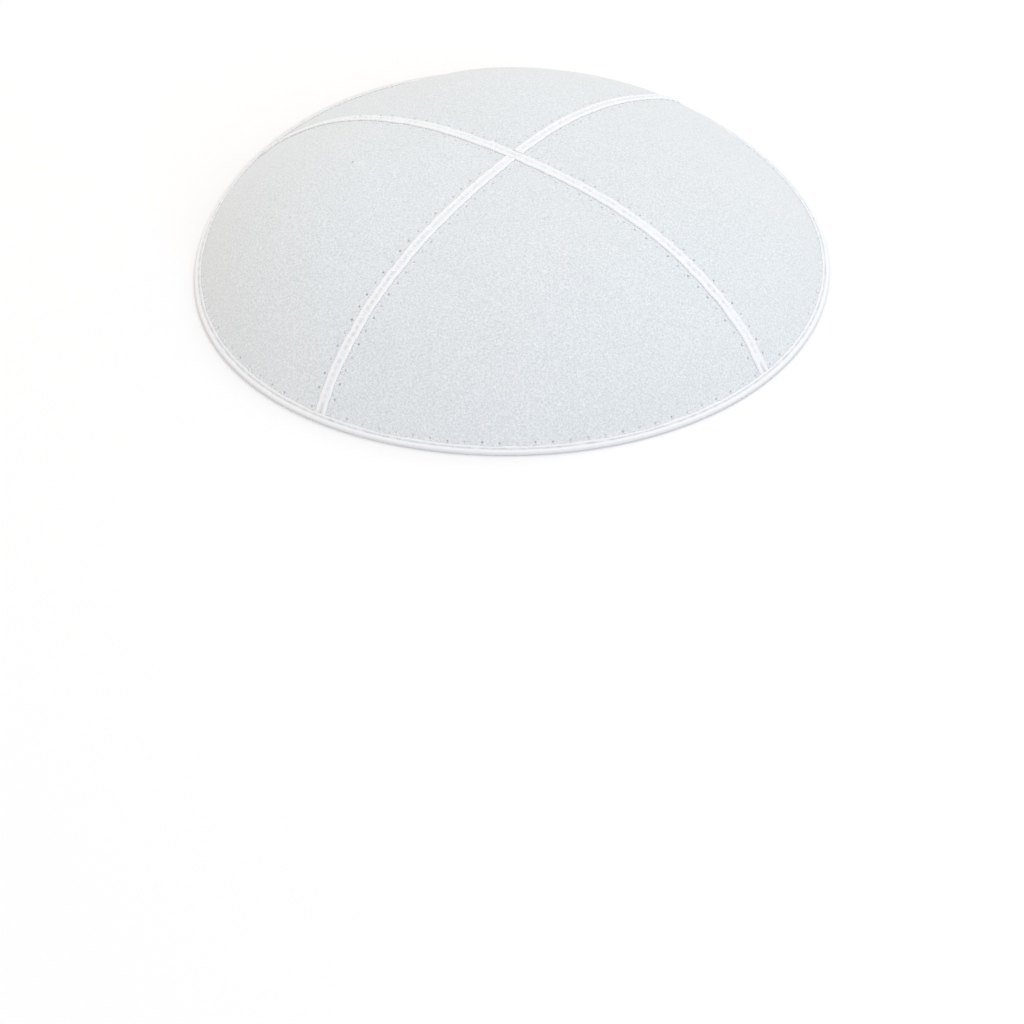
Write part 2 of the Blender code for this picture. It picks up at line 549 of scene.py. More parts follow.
@dataclass(frozen=True)
class Stitching:
    """Where the needle went through the suede, along the seams and along the rim."""

    pitch: float = 4.0 * MM
    stagger: float = 1.4 * MM
    reach: float = 2.85 * MM
    start: float = 4.6 * MM
    rim_clearance: float = 4.6 * MM
    rim_holes: int = 27
    rim_rise: float = 2.65 * MM
    rim_margin: float = 3.3 * MM
    shake: float = 0.11 * MM
    seed: int = 5

    def shaken(self, even: Array, row: int) -> Array:
        """Holes moved a little at random, by the number of their row."""
        rng = np.random.default_rng(self.seed + row)
        return even + rng.uniform(-self.shake, self.shake, even.shape)

    def stations(self, form: CapForm, side: Side) -> Array:
        """Distances in plan of a seam's holes from the crown, staggered from side to side."""
        first = self.start + (self.stagger if side is Side.LEFT else 0.0)
        arcs = np.arange(first, form.meridian_length - self.rim_clearance, self.pitch)
        return form.reach_at(arcs)

    def crossings(self, form: CapForm) -> Array:
        """Distances in plan at which the thread crosses the middle of a seam."""
        first = self.start + (self.stagger - self.pitch) / 2
        arcs = np.arange(first, form.meridian_length - self.rim_clearance, self.pitch / 2)
        return form.reach_at(arcs)

    def regular_seam_row(self, form: CapForm, side: Side) -> Array:
        """Holes on a side of a seam that lies along +X, at their regular places."""
        stations = self.stations(form, side)
        return np.stack((stations, np.full_like(stations, side.value * self.reach)), axis=-1)

    def regular_rim_row(self, form: CapForm) -> Array:
        """Holes along the rim of the panel between +X and +Y.

        Args:
            form: Form of the cap.

        Returns:
            Their regular places.
        """
        radius = float(form.reach_at(form.meridian_length - self.rim_rise))
        margin = self.rim_margin / radius
        angles = np.linspace(margin, math.pi / 2 - margin, self.rim_holes)
        return radius * np.stack((np.cos(angles), np.sin(angles)), axis=-1)

    def regular_panel_rows(self, form: CapForm) -> list[Array]:
        """The three rows of the panel between +X and +Y, at their regular places."""
        left = self.regular_seam_row(form, Side.LEFT)
        right = turned(self.regular_seam_row(form, Side.RIGHT), math.pi / 2)
        return [left, right, self.regular_rim_row(form)]

    def panel_rows(self, form: CapForm, seam: int) -> list[Array]:
        """The rows of the panel that follows a seam, at their real places on its own axes."""
        numbers = (2 * seam, 2 * ((seam + 1) % 4) + 1, 8 + seam)
        rows = self.regular_panel_rows(form)
        return [self.shaken(row, number) for row, number in zip(rows, numbers)]

    def seam_row(self, form: CapForm, seam: int, side: Side) -> NeedleRow:
        """A row beside a seam.

        Args:
            form: Form of the cap.
            seam: Number of the seam.
            side: Side of the seam.

        Returns:
            The row, from the crown outwards.
        """
        azimuth = form.seam_azimuth(seam)
        if side is Side.LEFT:
            return NeedleRow(turned(self.panel_rows(form, seam)[0], azimuth))
        before = (seam - 1) % 4
        return NeedleRow(turned(self.panel_rows(form, before)[1], form.seam_azimuth(before)))

    def rim_row(self, form: CapForm, seam: int) -> NeedleRow:
        """The row along the rim of the panel that follows a seam."""
        return NeedleRow(turned(self.panel_rows(form, seam)[2], form.seam_azimuth(seam)))


# Geometry node trees

def set_input(modifier: bpy.types.Modifier, name: str, value: object) -> None:
    """Sets a named input of a geometry nodes modifier.

    Args:
        modifier: The modifier.
        name: Name of the input.
        value: Its value.
    """
    for item in modifier.node_group.interface.items_tree:
        if item.item_type == "SOCKET" and item.in_out == "INPUT" and item.name == name:
            modifier[item.identifier] = value
            return
    raise KeyError(name)


def put(name: str, mesh: bpy.types.Mesh) -> Thing:
    """Puts a mesh in the scene as an object at the origin."""
    thing = bpy.data.objects.new(name, mesh)
    bpy.context.scene.collection.objects.link(thing)
    return thing


def run_tree(source: Thing, tree: NodeTree, inputs: dict[str, object]) -> Thing:
    """Runs a geometry nodes tree on an object and keeps the result as its plain mesh.

    Args:
        source: The object, whose mesh is replaced.
        tree: The tree.
        inputs: Values of the tree's named inputs.

    Returns:
        The same object.
    """
    modifier = source.modifiers.new(tree.name, "NODES")
    modifier.node_group = tree
    for name, value in inputs.items():
        set_input(modifier, name, value)
    depsgraph = bpy.context.evaluated_depsgraph_get()
    depsgraph.update()
    made = bpy.data.meshes.new_from_object(source.evaluated_get(depsgraph))
    source.modifiers.remove(modifier)
    source.data = made
    made.name = source.name
    return source


def guide(name: str, points: Array, up: Array, joined: bool) -> Thing:
    """An unfaced mesh of points that a tree reads, with the direction off the surface at each.

    Args:
        name: Name of the object.
        points: The points.
        up: The directions.
        joined: Joins each point to the next.

    Returns:
        The object.
    """
    links = [(i, i + 1) for i in range(len(points) - 1)] if joined else []
    mesh = bpy.data.meshes.new(name)
    mesh.from_pydata(points.tolist(), links, [])
    stored = mesh.attributes.new("up", "FLOAT_VECTOR", "POINT")
    stored.data.foreach_set("vector", up.astype(np.float32).ravel())
    return put(name, mesh)


def drop(*things: Thing) -> None:
    """Removes helper objects and their meshes."""
    for thing in things:
        mesh = thing.data
        bpy.data.objects.remove(thing)
        bpy.data.meshes.remove(mesh)


@dataclass(frozen=True)
class NeedleHoles:
    """Presses round needle holes into a wall, with a shallow dimple round each."""

    radius: float = 0.34 * MM
    depth: float = 0.42 * MM
    dimple_radius: float = 1.3 * MM
    dimple_depth: float = 0.07 * MM
    half_wall: float = 0.5 * MM
    sizes: tuple[float, float] = (0.86, 1.12)
    bottom_share: float = 0.5
    brim_share: float = 1.2
    weakest: float = 0.45
    crown_share: float = 0.6
    crown_run: tuple[float, float] = (5 * MM, 55 * MM)
    seed: int = 3
    strength_seed: int = 29

    def tree(self) -> NodeTree:
        """Builds the tree: it works on a mesh, and reads the holes from another object.

        Returns:
            The tree.
        """
        graph = Graph(bpy.data.node_groups.new("needle_holes", "GeometryNodeTree"))
        sockets, ends = graph.group_ends({
            "Geometry": (GEOMETRY, None),
            "Holes": (OBJECT, None),
            "Hole Radius": (FLOAT, self.radius),
            "Hole Depth": (FLOAT, self.depth),
            "Dimple Radius": (FLOAT, self.dimple_radius),
            "Dimple Depth": (FLOAT, self.dimple_depth),
            "Outer Half": (FLOAT, self.half_wall),
            "Weakest Hole": (FLOAT, self.weakest),
            "Share at Crown": (FLOAT, self.crown_share),
            "Seed": (INT, self.seed),
            "Material": (MATERIAL, None),
        }, {"Geometry": GEOMETRY})
        holes = graph.geometry_of(sockets["Holes"])
        position = graph.first("GeometryNodeInputPosition")
        inputs = {"Geometry": holes, "Sample Position": position}
        nearest = graph.first("GeometryNodeSampleNearest", inputs)
        axis = graph.sampled(holes, graph.stored_up(), nearest)
        off = graph.vector("SUBTRACT", position, graph.sampled(holes, position, nearest))
        rise = graph.vector("DOT_PRODUCT", off, axis)
        flat = graph.vector("SUBTRACT", off, graph.scaled(axis, rise))
        least, most = self.sizes
        inputs = {"Min": least, "Max": most, "ID": nearest, "Seed": sockets["Seed"]}
        away = graph.math("DIVIDE", graph.vector("LENGTH", flat), graph.random(inputs))
        bottom = graph.product(sockets["Hole Radius"], self.bottom_share)
        brim = graph.product(sockets["Hole Radius"], self.brim_share)
        hole = graph.ramp(away, bottom, brim, 1.0, 0.0, smooth=True)
        dimple = graph.ramp(away, 0.0, sockets["Dimple Radius"], 1.0, 0.0, smooth=True)
        outside = graph.math("GREATER_THAN", rise, graph.product(sockets["Outer Half"], -1.0))
        inputs = {"Min": sockets["Weakest Hole"], "Max": 1.0, "ID": nearest}
        strength = graph.random(inputs | {"Seed": self.strength_seed})
        off_crown = graph.vector("LENGTH", graph.vector("MULTIPLY", position, (1.0, 1.0, 0.0)))
        outwards = graph.ramp(off_crown, *self.crown_run, sockets["Share at Crown"], 1.0)
        hole = graph.product(hole, graph.product(strength, outwards))
        hole = graph.product(hole, outside)
        dimple = graph.product(dimple, outside)
        down = graph.blended(hole, sockets["Hole Depth"], dimple, sockets["Dimple Depth"])
        offset = graph.scaled(axis, graph.product(down, -1.0))
        inputs = {"Geometry": sockets["Geometry"], "Name": "needle_hole", "Value": hole}
        stored = graph.first("GeometryNodeStoreNamedAttribute", inputs,
                             data_type="FLOAT", domain="POINT")
        moved = graph.first("GeometryNodeSetPosition", {"Geometry": stored, "Offset": offset})
        graph.end_geometry(moved, sockets["Material"], ends[0])
        return graph.tree


@dataclass(frozen=True)
class LaidThread:
    """Lays a thread from hole to hole over whatever lies between them."""

    radius: float = 0.11 * MM
    steps: int = 14
    sink: float = 0.30 * MM
    shake: float = 0.02 * MM
    sides: int = 7
    seed: int = 8
    cast_from: float = 3 * MM
    cast_length: float = 8 * MM
    rest_share: float = 0.25
    dive: float = 0.40

    def tree(self) -> NodeTree:
        """Builds the tree: it turns a line of holes into a thread over a surface.

        Returns:
            The tree.
        """
        graph = Graph(bpy.data.node_groups.new("laid_thread", "GeometryNodeTree"))
        sockets, ends = graph.group_ends({
            "Geometry": (GEOMETRY, None),
            "Surface": (OBJECT, None),
            "Thread Radius": (FLOAT, self.radius),
            "Steps a Stitch": (INT, self.steps),
            "Sink": (FLOAT, self.sink),
            "Shake": (FLOAT, self.shake),
            "Sides": (INT, self.sides),
            "Seed": (INT, self.seed),
            "Material": (MATERIAL, None),
        }, {"Geometry": GEOMETRY})
        steps, radius = sockets["Steps a Stitch"], sockets["Thread Radius"]
        curve = graph.first("GeometryNodeMeshToCurve", {"Mesh": sockets["Geometry"]})
        cuts = graph.math("SUBTRACT", steps, 1.0)
        fine = graph.first("GeometryNodeSubdivideCurve", {"Curve": curve, "Cuts": cuts})
        position = graph.first("GeometryNodeInputPosition")
        up = graph.vector("NORMALIZE", graph.stored_up())
        cast = graph.add("GeometryNodeRaycast", {
            "Target Geometry": graph.geometry_of(sockets["Surface"]),
            "Source Position": graph.vector("ADD", position, graph.scaled(up, self.cast_from)),
            "Ray Direction": graph.scaled(up, -1.0),
            "Ray Length": self.cast_length,
        })
        landed = graph.first("GeometryNodeSwitch", {
            "Switch": cast.outputs["Is Hit"],
            "False": position,
            "True": cast.outputs["Hit Position"],
        }, input_type="VECTOR")
        index = graph.first("GeometryNodeInputIndex")
        share = graph.math("DIVIDE", graph.math("MODULO", index, steps), steps)
        centred = graph.math("ABSOLUTE", graph.math("SUBTRACT", share, 0.5))
        end = graph.ramp(centred, self.dive, 0.5)
        rest = graph.product(radius, self.rest_share)
        lift = graph.math("SUBTRACT", rest, graph.product(end, sockets["Sink"]))
        wander = graph.random({"Seed": sockets["Seed"], "ID": index}, "FLOAT_VECTOR")
        centred = graph.vector("SUBTRACT", wander, (0.5, 0.5, 0.5))
        target = graph.vector("ADD", landed, graph.scaled(up, lift))
        target = graph.vector("ADD", target, graph.scaled(centred, sockets["Shake"]))
        laid = graph.first("GeometryNodeSetPosition", {"Geometry": fine, "Position": target})
        even = graph.add("GeometryNodeBlurAttribute", {"Iterations": 1}, data_type="FLOAT_VECTOR")
        graph.link(position, graph.live(even.inputs, "Value"))
        inputs = {"Geometry": laid, "Position": graph.live(even.outputs)}
        taut = graph.first("GeometryNodeSetPosition", inputs)
        inputs = {"Resolution": sockets["Sides"], "Radius": radius}
        ring = graph.first("GeometryNodeCurvePrimitiveCircle", inputs)
        inputs = {"Curve": taut, "Profile Curve": ring, "Fill Caps": True}
        tube = graph.first("GeometryNodeCurveToMesh", inputs)
        graph.end_geometry(tube, sockets["Material"], ends[0])
        return graph.tree


# Finishes

def nap_group() -> NodeTree:
    """The shader group for a mottled, fibrous surface.

    Returns:
        The group: a grain mask, a cloud mask and a height, all from 0 to 1.
    """
    graph = Graph(bpy.data.node_groups.new("nap", "ShaderNodeTree"))
    sockets, ends = graph.group_ends(
        {"Vector": (VECTOR, None), "Grain Scale": (FLOAT, 900.0), "Cloud Scale": (FLOAT, 45.0)},
        {"Grain": FLOAT, "Cloud": FLOAT, "Height": FLOAT},
    )
    place, scale = sockets["Vector"], sockets["Grain Scale"]
    grain = graph.noise(place, scale, detail=2.0, roughness=0.6)
    fine = graph.noise(place, graph.product(scale, 2.7), detail=3.0, roughness=0.65)
    cloud = graph.noise(place, sockets["Cloud Scale"], detail=3.0, roughness=0.55)
    graph.link(graph.ramp(grain, 0.28, 0.72), ends["Grain"])
    graph.link(graph.ramp(cloud, 0.30, 0.70), ends["Cloud"])
    graph.link(graph.blended(grain, 0.55, fine, 0.45), ends["Height"])
    return graph.tree


def weave_group() -> NodeTree:
    """The shader group for a plain woven tape, on a UV map in metres.

    Returns:
        The group: a height from 0 to 1.
    """
    graph = Graph(bpy.data.node_groups.new("weave", "ShaderNodeTree"))
    sockets, ends = graph.group_ends(
        {"Vector": (VECTOR, None), "Yarn Width": (FLOAT, 0.3 * MM)}, {"Height": FLOAT})
    split = graph.add("ShaderNodeSeparateXYZ", {0: sockets["Vector"]})
    waves = []
    for axis in (0, 1):
        turns = graph.math("DIVIDE", split.outputs[axis], sockets["Yarn Width"])
        waves.append(graph.math("SINE", graph.product(turns, math.pi)))
    height = graph.math("MULTIPLY_ADD", graph.product(*waves), 0.5, 0.5)
    graph.link(height, ends["Height"])
    return graph.tree


@dataclass
class Dressing:
    """A material in the making."""

    material: Material
    graph: Graph
    shader: Node
    place: Socket
    nap: Node

    def finish(self, colour: Socket, height: Socket, relief: float, strength: float) -> Material:
        """Feeds the colour and the relief to the shader.

        Args:
            colour: The base colour.
            height: The relief's height, from 0 to 1.
            relief: The whole relief in metres.
            strength: Share of the relief that shows.

        Returns:
            The material.
        """
        inputs = {"Height": height, "Distance": relief, "Strength": strength}
        self.graph.link(colour, self.shader.inputs["Base Color"])
        self.graph.link(self.graph.first("ShaderNodeBump", inputs), self.shader.inputs["Normal"])
        return self.material


@dataclass
class Finish:
    """A finish with a nap, and the shader's settings that are the same all over."""

    name: str
    roughness: float
    sheen: float
    pale: tuple
    deep: tuple
    grain_scale: float
    relief: float
    strength: float = 0.6
    sheen_roughness: float = 0.5
    specular: float = 0.3

    def start(self, nap: NodeTree) -> Dressing:
        """Makes the material, with the nap group on object coordinates.

        Args:
            nap: The nap group.

        Returns:
            The material in the making.
        """
        material = bpy.data.materials.new(self.name)
        material.use_nodes = True
        shader = material.node_tree.nodes["Principled BSDF"]
        shader.inputs["Roughness"].default_value = self.roughness
        shader.inputs["Sheen Weight"].default_value = self.sheen
        shader.inputs["Sheen Roughness"].default_value = self.sheen_roughness
        shader.inputs["Specular IOR Level"].default_value = self.specular
        graph = Graph(material.node_tree)
        place = graph.add("ShaderNodeTexCoord").outputs["Object"]
        inputs = {"Vector": place, "Grain Scale": self.grain_scale}
        return Dressing(material, graph, shader, place,
                        graph.add("ShaderNodeGroup", inputs, node_tree=nap))


@dataclass
class SuedeFinish(Finish):
    """White suede: a short mottled nap, faint clouds, rare dark specks and painted shade in the
    needle holes.
    """

    name: str = "suede"
    roughness: float = 0.95
    sheen: float = 0.12
    pale: tuple = (0.87, 0.905, 0.92, 1.0)
    deep: tuple = (0.63, 0.665, 0.685, 1.0)
    grain_scale: float = 2000.0
    relief: float = 0.10 * MM
    specular: float = 0.15
    grain_share: float = 0.96
    cloud_share: float = 0.04
    speck: tuple = (0.25, 0.25, 0.24, 1.0)
    speck_cells: float = 95.0
    speck_edge: tuple[float, float] = (0.02, 0.045)
    speck_rarity: float = 0.82
    speck_strength: float = 0.7
    # Painted shade in the needle holes: its colour, and where on the hole mask it starts and is
    # full
    hole: tuple = (0.52, 0.53, 0.54, 1.0)
    hole_shade_edge: tuple[float, float] = (0.08, 0.75)

    def build(self, nap: NodeTree) -> Material:
        """Builds the material.

        Args:
            nap: The nap group.

        Returns:
            The material.
        """
        work = self.start(nap)
        graph, outputs = work.graph, work.nap.outputs
        tone = graph.blended(outputs["Grain"], self.grain_share,
                             outputs["Cloud"], self.cloud_share)
        colour = graph.mix(tone, self.deep, self.pale)
        colour = graph.mix(self.specks(work), colour, self.speck)
        # Painted shade: the pressed needle holes are darkened towards the hole colour
        hole = graph.ramp(graph.attribute("needle_hole"), *self.hole_shade_edge)
        colour = graph.mix(hole, colour, self.hole)
        return work.finish(colour, outputs["Height"], self.relief, self.strength)

    def specks(self, work: Dressing) -> Socket:
        """Rare small specks in the nap.

        Args:
            work: The material in the making.

        Returns:
            The mask's socket.
        """
        graph = work.graph
        cells = graph.add("ShaderNodeTexVoronoi",
                          {"Vector": work.place, "Scale": self.speck_cells})
        near = graph.ramp(cells.outputs["Distance"], *self.speck_edge, 1.0, 0.0)
        chosen = graph.first("ShaderNodeSeparateColor", {0: cells.outputs["Color"]})
        rare = graph.math("GREATER_THAN", chosen, self.speck_rarity)
        return graph.product(graph.product(near, rare), self.speck_strength)


@dataclass
class TapeFinish(Finish):
    """Smooth white tape with a fine weave and painted shade in its groove."""

    name: str = "seam_tape"
    roughness: float = 0.72
    sheen: float = 0.1
    pale: tuple = (0.93, 0.94, 0.955, 1.0)
    deep: tuple = (0.58, 0.61, 0.63, 1.0)
    grain_scale: float = 1400.0
    relief: float = 0.05 * MM
    strength: float = 0.7
    yarn: float = 0.28 * MM
    grain_least: float = 0.86
    # Strength of the painted shade in grooves and on the binding's fold
    hollow_shade: float = 0.85
    weave_share: float = 0.6
    nap_share: float = 0.4

    def build(self, nap: NodeTree, weave: NodeTree) -> Material:
        """Builds the material.

        Args:
            nap: The nap group.
            weave: The weave group.

        Returns:
            The material.
        """
        work = self.start(nap)
        graph, outputs = work.graph, work.nap.outputs
        flat = graph.first("ShaderNodeUVMap", uv_map="UVMap")
        inputs = {"Vector": flat, "Yarn Width": self.yarn}
        cloth = graph.first("ShaderNodeGroup", inputs, node_tree=weave)
        grain = graph.ramp(outputs["Grain"], 0.0, 1.0, self.grain_least, 1.0)
        # Painted shade: the stored value darkens the tape towards deep
        shade = graph.product(graph.attribute("hollow"), self.hollow_shade)
        tone = graph.math("SUBTRACT", grain, shade, clamp=True)
        colour = graph.mix(tone, self.deep, self.pale)
        height = graph.blended(cloth, self.weave_share, outputs["Height"], self.nap_share)
        return work.finish(colour, height, self.relief, self.strength)


@dataclass
class BindingFinish(TapeFinish):
    """The tape of the rim, a little warmer and smoother."""

    name: str = "binding"
    roughness: float = 0.7
    pale: tuple = (0.93, 0.935, 0.945, 1.0)


@dataclass
class ThreadFinish(Finish):
    """White polyester thread, slightly fuzzy."""

    name: str = "thread"
    roughness: float = 0.55
    sheen: float = 0.15
    pale: tuple = (0.96, 0.97, 0.97, 1.0)
    deep: tuple = (0.90, 0.91, 0.92, 1.0)
    grain_scale: float = 3000.0
    relief: float = 0.03 * MM

    def build(self, nap: NodeTree) -> Material:
        """Builds the material.

        Args:
            nap: The nap group.

        Returns:
            The material.
        """
        work = self.start(nap)
        outputs = work.nap.outputs
        colour = work.graph.mix(outputs["Grain"], self.deep, self.pale)
        return work.finish(colour, outputs["Height"], self.relief, self.strength)


# Pieces

def finish_piece(thing: Thing, slot: Slot, *nodes: str) -> None:
    """Smooths a finished piece and ties it to the frame.

    Args:
        thing: The piece.
        slot: The record's slot; not used.
        nodes: The frame's nodes that it stands for.
    """
    thing.data.shade_smooth()
    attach(thing, BODY)
    if nodes:
        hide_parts(*nodes)
    thing.data.calc_loop_triangles()
    LOG.info("%s: %d triangles", thing.name, len(thing.data.loop_triangles))


@dataclass
class PanelPattern:
    """The flat pattern of a quarter between +X and +Y, cut into triangles.

    Rings of corners lie round each needle hole, and an even mesh fills the rest.
    """

    form: CapForm
    stitching: Stitching
    spacing: float = 0.8 * MM
    half_gap: float = 0.02 * MM
    rings: tuple[float, ...] = (
        0.17 * MM, 0.28 * MM, 0.38 * MM, 0.48 * MM, 0.62 * MM, 0.85 * MM)
    ring_corners: int = 12
    ring_clearance: float = 0.45
    corners: Array = field(init=False)
    faces: list = field(init=False)
    owners: Array = field(init=False)
    border: int = field(init=False)

    def __post_init__(self) -> None:
        """Cuts the pattern."""
        border = self.border_corners()
        holes = np.concatenate(self.stitching.regular_panel_rows(self.form))
        ringed, owners = self.ring_corners_of(holes)
        fill = self.fill_corners(border, holes)
        corners = np.concatenate((border, ringed, fill))
        numbers = np.concatenate((np.full(len(border), -1), owners, np.full(len(fill), -1)))
        loop = [list(range(len(border)))]
        result = delaunay_2d_cdt([Vector(c) for c in corners.tolist()], [], loop, 1, 1e-9, True)
        self.corners = np.array([tuple(v) for v in result[0]])
        self.faces = [tuple(f) for f in result[2]]
        self.owners = np.array([numbers[o[0]] if o else -1 for o in result[3]])
        self.border = len(border)
        if any(o[:1] != [i] for i, o in enumerate(result[3][:self.border])):
            raise RuntimeError("the pattern's border was cut again")

    def border_corners(self) -> Array:
        """Corners along the border, anticlockwise from the crown.

        Returns:
            Their places.
        """
        gap = self.half_gap
        radius = self.form.edge_radius
        steps = int(radius / self.spacing)
        reach = math.sqrt(radius ** 2 - gap ** 2)
        out = np.linspace(gap, reach, steps + 1)
        low, high = math.asin(gap / radius), math.acos(gap / radius)
        angles = np.linspace(low, high, int(radius * math.pi / 2 / self.spacing) + 1)
        arc = radius * np.stack((np.cos(angles), np.sin(angles)), axis=-1)
        first = np.stack((out, np.full_like(out, gap)), axis=-1)
        return np.concatenate((first[:-1], arc, first[1:-1][::-1, ::-1]))

    def squeeze(self, even: Array) -> Array:
        """Share by which the dome's slope shortens a distance in plan, straight outwards.

        Args:
            even: Places on the even plan.

        Returns:
            The share at each.
        """
        radius = np.linalg.norm(even, axis=-1)
        step = 0.05 * MM
        inner = np.maximum(radius - step, 0)
        fall = (self.form.meridian(inner) - self.form.meridian(radius)) / step
        return 1 / np.sqrt(1 + fall ** 2)

    def ring_corners_of(self, holes: Array) -> tuple[Array, Array]:
        """Corners round each hole, on circles that are round on the sloping suede.

        Args:
            holes: The holes' places.

        Returns:
            The corners and the number of the hole that each belongs to.
        """
        flat = [(0.0, 0.0)]
        for number, radius in enumerate(self.rings):
            for step in range(self.ring_corners):
                angle = FULL_TURN * (step + 0.5 * (number % 2)) / self.ring_corners
                flat.append((radius * math.cos(angle), radius * math.sin(angle)))
        flat = np.array(flat)
        outwards = unit(holes)
        sideways = np.stack((-outwards[:, 1], outwards[:, 0]), axis=-1)
        short = (outwards * self.squeeze(holes)[:, None])[:, None, :]
        corners = holes[:, None, :] + flat[None, :, :1] * short
        corners = corners + flat[None, :, 1:] * sideways[:, None, :]
        owners = np.repeat(np.arange(len(holes)), len(flat))
        return corners.reshape(-1, 2), owners

    def fill_corners(self, border: Array, holes: Array) -> Array:
        """An even mesh of corners, clear of the border and of the holes' rings.

        Args:
            border: Corners of the border.
            holes: The holes' places.

        Returns:
            Their places.
        """
        step = self.spacing
        rows = np.arange(0, self.form.edge_radius, step * math.sqrt(3) / 2)
        grid = np.array([
            (x + (0.5 * step if i % 2 else 0.0), y)
            for i, y in enumerate(rows) for x in np.arange(0, self.form.edge_radius, step)
        ])
        inside = grid.min(axis=1) > self.half_gap + 0.5 * step
        inside &= np.linalg.norm(grid, axis=1) < self.form.edge_radius - 0.5 * step
        grid = grid[inside]
        clear = self.rings[-1] + self.ring_clearance * step
        keep = np.ones(len(grid), bool)
        for hole, out, squeeze in zip(holes, unit(holes), self.squeeze(holes)):
            off = grid - hole
            along = (off @ out) / squeeze
            across = off[:, 1] * out[0] - off[:, 0] * out[1]
            keep &= np.hypot(along, across) > clear
        return grid[keep]

    def moved(self, seam: int) -> Array:
        """The corners with each hole's rings moved to that panel's own hole.

        Args:
            seam: Number of the seam that the panel follows.

        Returns:
            The corners' places on the panel's own axes.
        """
        regular = np.concatenate(self.stitching.regular_panel_rows(self.form))
        real = np.concatenate(self.stitching.panel_rows(self.form, seam))
        shift = np.concatenate((real - regular, np.zeros((1, 2))))
        return self.corners + shift[self.owners]


@dataclass
class SuedePanel:
    """One of the four suede gores, with its needle holes."""

    name: str
    seam: int
    form: CapForm
    stitching: Stitching
    pattern: PanelPattern

    def build(self, holes_tree: NodeTree, material: Material) -> Thing:
        """Builds the panel and presses its needle holes.

        Args:
            holes_tree: The tree that presses the holes.
            material: The suede.

        Returns:
            The panel.
        """
        azimuth = self.form.seam_azimuth(self.seam)
        even = turned(self.pattern.moved(self.seam), azimuth)
        outer = self.form.place(even, self.form.half_suede)
        inner = self.form.place(even, -self.form.half_suede)
        count = len(even)
        faces = list(self.pattern.faces)
        faces += [tuple(count + i for i in reversed(face)) for face in self.pattern.faces]
        border = list(range(self.pattern.border))
        for a, b in zip(border, border[1:] + border[:1]):
            faces.append((b, a, count + a, count + b))
        mesh = bpy.data.meshes.new(self.name)
        mesh.from_pydata(np.concatenate((outer, inner)).tolist(), [], faces)
        piece = put(self.name, mesh)
        rows = np.concatenate(self.stitching.panel_rows(self.form, self.seam))
        row = NeedleRow(turned(rows, azimuth))
        holes = guide(self.name + "_holes", row.points(self.form), row.up(self.form), False)
        run_tree(piece, holes_tree, {"Holes": holes, "Material": material})
        drop(holes)
        return piece


def lofted(name: str, sections: Array, uv: Array, hollow: Array, closed: bool,
           material: Material) -> Thing:
    """A closed skin over a row of closed sections.

    Args:
        name: Name of the piece.
        sections: Points by section and place on the section. Seen along the row, a section
            runs clockwise.
        uv: UV coordinates in metres of the same points.
        hollow: Painted shade on each point, from 0 to 1: in the grooves, and on the binding's fold.
        closed: Joins the last section to the first; otherwise both ends get a cap.
        material: The material.

    Returns:
        The piece.
    """
    rows, columns = sections.shape[:2]
    number = np.arange(rows * columns).reshape(rows, columns)
    last = rows if closed else rows - 1
    faces, corners_uv = [], []
    around = uv[:, -1, 1] + np.linalg.norm(sections[:, 0] - sections[:, -1], axis=-1)
    total = uv[-1, 0, 0] + float(np.linalg.norm(sections[0, 0] - sections[-1, 0]))
    for row in range(last):
        after = (row + 1) % rows
        for column in range(columns):
            beside = (column + 1) % columns
            faces.append((number[row, column], number[row, beside],
                          number[after, beside], number[after, column]))
            for r, c in ((row, column), (row, beside), (after, beside), (after, column)):
                along = total if (closed and r == 0 and row == rows - 1) else uv[r, c, 0]
                across = around[r] if (c == 0 and column == columns - 1) else uv[r, c, 1]
                corners_uv.append((along, across))
    if not closed:
        for row, order in ((0, -1), (rows - 1, 1)):
            faces.append(tuple(number[row, ::order]))
            corners_uv += [tuple(uv[row, c]) for c in range(columns)[::order]]
    mesh = bpy.data.meshes.new(name)
    mesh.from_pydata(sections.reshape(-1, 3).tolist(), [], faces)
    layer = mesh.uv_layers.new(name="UVMap")
    layer.data.foreach_set("uv", np.array(corners_uv, np.float32).ravel())
    # The painted shade is stored on the points, for the material
    stored = mesh.attributes.new("hollow", "FLOAT", "POINT")
    stored.data.foreach_set("value", hollow.astype(np.float32).ravel())
    mesh.materials.append(material)
    return put(name, mesh)


def skin_uv(points: Array, along: Array) -> Array:
    """UV coordinates in metres of a row of sections.

    Args:
        points: Points by section and place on the section.
        along: Distance of each section along the row.

    Returns:
        The coordinates of each point.
    """
    lengths = np.linalg.norm(np.diff(points, axis=1), axis=-1)
    start = np.zeros((len(points), 1))
    v = np.concatenate((start, np.cumsum(lengths, axis=1)), axis=1)
    return np.stack((np.broadcast_to(along[:, None], v.shape), v), axis=-1)


